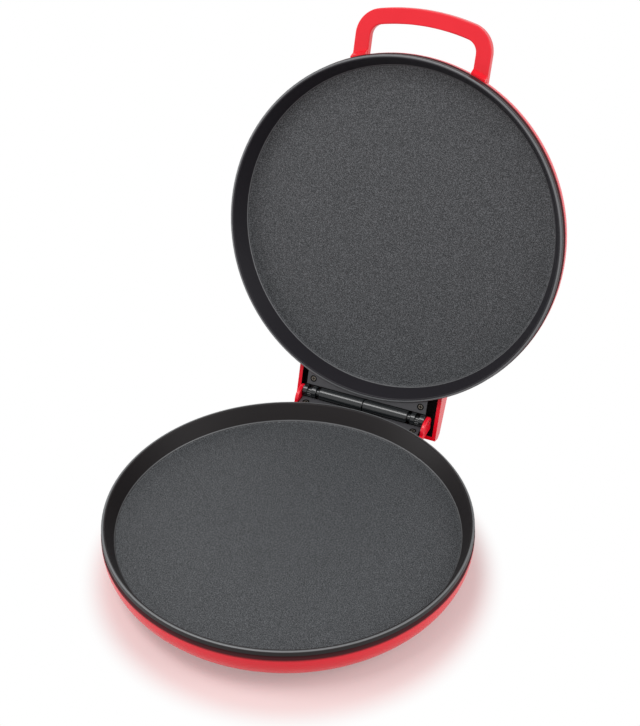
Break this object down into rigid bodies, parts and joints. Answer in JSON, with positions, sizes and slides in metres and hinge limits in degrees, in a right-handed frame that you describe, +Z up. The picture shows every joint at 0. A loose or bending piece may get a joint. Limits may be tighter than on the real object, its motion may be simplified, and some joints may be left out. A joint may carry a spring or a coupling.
{
  "type": "electric pizza maker",
  "caption": "Round countertop cooker with a red shell, a dark cooking plate in each half, a loop handle at the front and a barrel hinge at the back.",
  "frame": {"origin": "on the worktop, under the middle of the open cooker's outline", "axes": "+X to the right seen from the front, +Y to the hinge at the back, +Z up; the lid is stored open"},
  "size_m": [0.3412, 0.4906, 0.4176],
  "materials": {
    "red_shell": "smooth glossy red plastic",
    "handle": "smooth glossy red plastic",
    "plate": "cast aluminium with a dark speckled non-stick coating",
    "cover": "satin dark grey plastic",
    "hinge_black": "glossy black plastic",
    "steel": "plain zinc-plated steel",
    "heater_tube": "dull heated steel tube",
    "shield": "bright rolled aluminium",
    "ceramic": "unglazed ceramic",
    "phenolic": "matt cream phenolic plastic",
    "lead": "woven glass-fibre sleeve",
    "rubber": "matt black rubber",
    "red_lens": "clear red plastic",
    "green_lens": "clear green plastic",
    "lamp": "small glow lamp"
  },
  "bodies": {
    "base": {"base_shell": "red_shell", "base_pan": "plate", "base_heater": "heater_tube", "base_heater_clamps": "steel", "base_clamp_screws": "steel", "base_reflector": "shield", "base_pan_screws": "steel", "base_feet": "rubber", "foot_screws": "steel", "thermostat": "ceramic", "base_thermal_fuse": "ceramic", "terminal_block": "phenolic", "terminal_screw": "steel", "base_leads": "lead", "cord_gland": "rubber", "base_hinge_cover": "cover", "base_hinge_screws": "steel", "hinge_pin": "steel", "hinge_collar_left": "hinge_black", "hinge_collar_right": "hinge_black"},
    "lid": {"lid_shell": "red_shell", "lid_plate": "plate", "lid_heater": "heater_tube", "lid_heater_clamps": "steel", "lid_clamp_screws": "steel", "lid_reflector": "shield", "lid_reflector_screws": "steel", "lid_thermal_fuse": "ceramic", "lid_leads": "lead", "handle": "handle", "handle_screws": "steel", "lid_hinge_cover": "cover", "lid_hinge_screws": "steel", "hinge_knuckle_left": "hinge_black", "hinge_knuckle_right": "hinge_black", "knuckle_screws": "steel", "power_lens": "red_lens", "ready_lens": "green_lens", "lamp_carrier": "phenolic", "carrier_screws": "steel", "indicator_lamps": "lamp"}
  },
  "joints": [
    {"name": "lid_hinge", "type": "hinge", "parent": "base", "child": "lid", "pos_m": [0, 0.1041, 0.0507], "axis": [1, 0, 0], "range_deg": [0, 107.4]}
  ]
}
